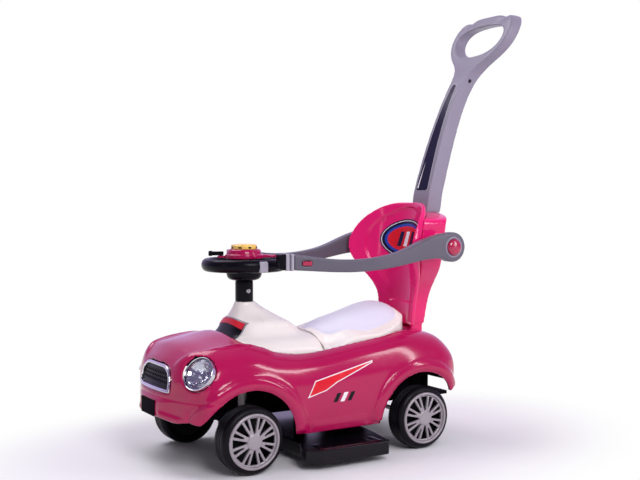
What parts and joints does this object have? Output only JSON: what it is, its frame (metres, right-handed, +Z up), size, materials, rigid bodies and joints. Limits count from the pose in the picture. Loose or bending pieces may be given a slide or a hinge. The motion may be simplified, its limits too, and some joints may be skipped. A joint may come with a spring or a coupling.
{
  "type": "push car with handle",
  "caption": "Child's foot-to-floor push car with a steering wheel, saddle over a storage bin, backrest, swing-up guard arms, footrest and a lift-off parent handle.",
  "frame": {"origin": "on the ground, on the centre plane, midway between the front and rear axles", "axes": "+X forward, +Y to the car's left, +Z up"},
  "size_m": [0.7545, 0.36, 0.8075],
  "materials": {
    "magenta": "glossy moulded",
    "pink": "glossy moulded",
    "white": "glossy moulded",
    "black": "satin moulded",
    "grey": "satin moulded",
    "silver": "silver painted",
    "tyre_black": "moulded hard plastic",
    "steel": "zinc plated",
    "chrome": "vacuum plated",
    "mirror": "vacuum plated",
    "lens": "clear moulded",
    "badge": "printed label",
    "dash": "printed label",
    "button_red": "glossy moulded",
    "button_yellow": "glossy moulded",
    "inlay": "printed label"
  },
  "bodies": {
    "car": {"chassis_frame": "black", "chassis_screws": "steel", "rear_axle": "steel", "rear_axle_nuts": "steel", "footrest": "black", "body_shell": "magenta", "grille_frame": "chrome", "grille_mesh": "black", "number_plate": "dash", "headlight_bezels": "chrome", "headlight_reflectors": "mirror", "headlight_lenses": "lens", "cowl": "white", "column_bush": "black", "dash_panel": "dash", "storage_bin": "black", "backrest_front": "pink", "backrest_badge": "badge", "backrest_rear": "pink", "backrest_screws": "steel", "guard_pivot_pins": "grey"},
    "seat": {"seat_lid": "white"},
    "steering": {"steering_wheel": "black", "spoke_trims": "grey", "sound_module": "black", "column_sleeve": "black", "column_bolt": "steel", "steering_shaft": "steel", "horn_housing": "magenta"},
    "horn": {"horn_button": "button_yellow"},
    "lever": {"signal_lever": "black"},
    "linkage": {"tie_link": "black"},
    "handle": {"push_handle": "grey", "handle_inlay": "inlay", "handle_screws": "steel"},
    "handle_lock": {"handle_lock_button": "button_red"},
    "knuckle_left": {"knuckle_left": "black", "stub_axle_left": "steel", "front_axle_nut_left": "steel"},
    "wheel_front_left": {"tyre_front_left": "tyre_black", "hubcap_front_left": "silver"},
    "wheel_rear_left": {"tyre_rear_left": "tyre_black", "hubcap_rear_left": "silver"},
    "guard_left": {"guard_arm_left": "grey", "arm_tip_left": "black", "pivot_cap_left": "button_red"},
    "latch_left": {"latch_button_left": "button_red"},
    "knuckle_right": {"knuckle_right": "black", "stub_axle_right": "steel", "front_axle_nut_right": "steel"},
    "wheel_front_right": {"tyre_front_right": "tyre_black", "hubcap_front_right": "silver"},
    "wheel_rear_right": {"tyre_rear_right": "tyre_black", "hubcap_rear_right": "silver"},
    "guard_right": {"guard_arm_right": "grey", "arm_tip_right": "black", "pivot_cap_right": "button_red"},
    "latch_right": {"latch_button_right": "button_red"}
  },
  "joints": [
    {"name": "steering_turn", "type": "hinge", "parent": "car", "child": "steering", "pos_m": [0.113, 0, 0.29], "axis": [0, 0, 1], "range_deg": [-25, 25]},
    {"name": "link_slide", "type": "slide", "parent": "car", "child": "linkage", "axis": [0, 1, 0], "range_m": [-0.0132, 0.0132]},
    {"name": "horn_press", "type": "slide", "parent": "steering", "child": "horn", "axis": [0, 0, -1], "range_m": [0, 0.003], "stiffness_N_per_m": 800, "springref_m": -0.002},
    {"name": "lever_turn", "type": "hinge", "parent": "steering", "child": "lever", "pos_m": [0.14658, -0.02352, 0.348], "axis": [0, 0, 1], "range_deg": [-15, 15]},
    {"name": "seat_lift", "type": "slide", "parent": "car", "child": "seat", "axis": [0, 0, 1], "range_m": [0, 0.06]},
    {"name": "handle_lift", "type": "slide", "parent": "car", "child": "handle", "axis": [-0.2817, 0, 0.9595], "range_m": [0, 0.06]},
    {"name": "handle_lock_press", "type": "slide", "parent": "car", "child": "handle_lock", "axis": [1, 0, 0], "range_m": [0, 0.002], "stiffness_N_per_m": 800, "springref_m": -0.002},
    {"name": "knuckle_left_turn", "type": "hinge", "parent": "car", "child": "knuckle_left", "pos_m": [0.17, 0.084, 0.08], "axis": [0, 0, 1], "range_deg": [-25, 25]},
    {"name": "wheel_front_left_roll", "type": "hinge", "parent": "knuckle_left", "child": "wheel_front_left", "pos_m": [0.17, 0.126, 0.055], "axis": [0, 1, 0], "continuous": true},
    {"name": "wheel_rear_left_roll", "type": "hinge", "parent": "car", "child": "wheel_rear_left", "pos_m": [-0.17, 0.126, 0.055], "axis": [0, 1, 0], "continuous": true},
    {"name": "guard_left_swing", "type": "hinge", "parent": "car", "child": "guard_left", "pos_m": [-0.238, 0.129, 0.356], "axis": [0, -1, 0], "range_deg": [0, 80]},
    {"name": "latch_left_press", "type": "slide", "parent": "guard_left", "child": "latch_left", "axis": [-0.2514, -0.9679, 0], "range_m": [0, 0.0025], "stiffness_N_per_m": 800, "springref_m": -0.002},
    {"name": "knuckle_right_turn", "type": "hinge", "parent": "car", "child": "knuckle_right", "pos_m": [0.17, -0.084, 0.08], "axis": [0, 0, 1], "range_deg": [-25, 25]},
    {"name": "wheel_front_right_roll", "type": "hinge", "parent": "knuckle_right", "child": "wheel_front_right", "pos_m": [0.17, -0.126, 0.055], "axis": [0, 1, 0], "continuous": true},
    {"name": "wheel_rear_right_roll", "type": "hinge", "parent": "car", "child": "wheel_rear_right", "pos_m": [-0.17, -0.126, 0.055], "axis": [0, 1, 0], "continuous": true},
    {"name": "guard_right_swing", "type": "hinge", "parent": "car", "child": "guard_right", "pos_m": [-0.238, -0.129, 0.356], "axis": [0, -1, 0], "range_deg": [0, 80]},
    {"name": "latch_right_press", "type": "slide", "parent": "guard_right", "child": "latch_right", "axis": [-0.2514, 0.9679, 0], "range_m": [0, 0.0025], "stiffness_N_per_m": 800, "springref_m": -0.002}
  ],
  "couplings": [
    {"joint": "link_slide", "follows": "steering_turn", "m_per_rad": -0.03},
    {"joint": "knuckle_left_turn", "follows": "steering_turn", "ratio": 1},
    {"joint": "knuckle_right_turn", "follows": "steering_turn", "ratio": 1}
  ]
}
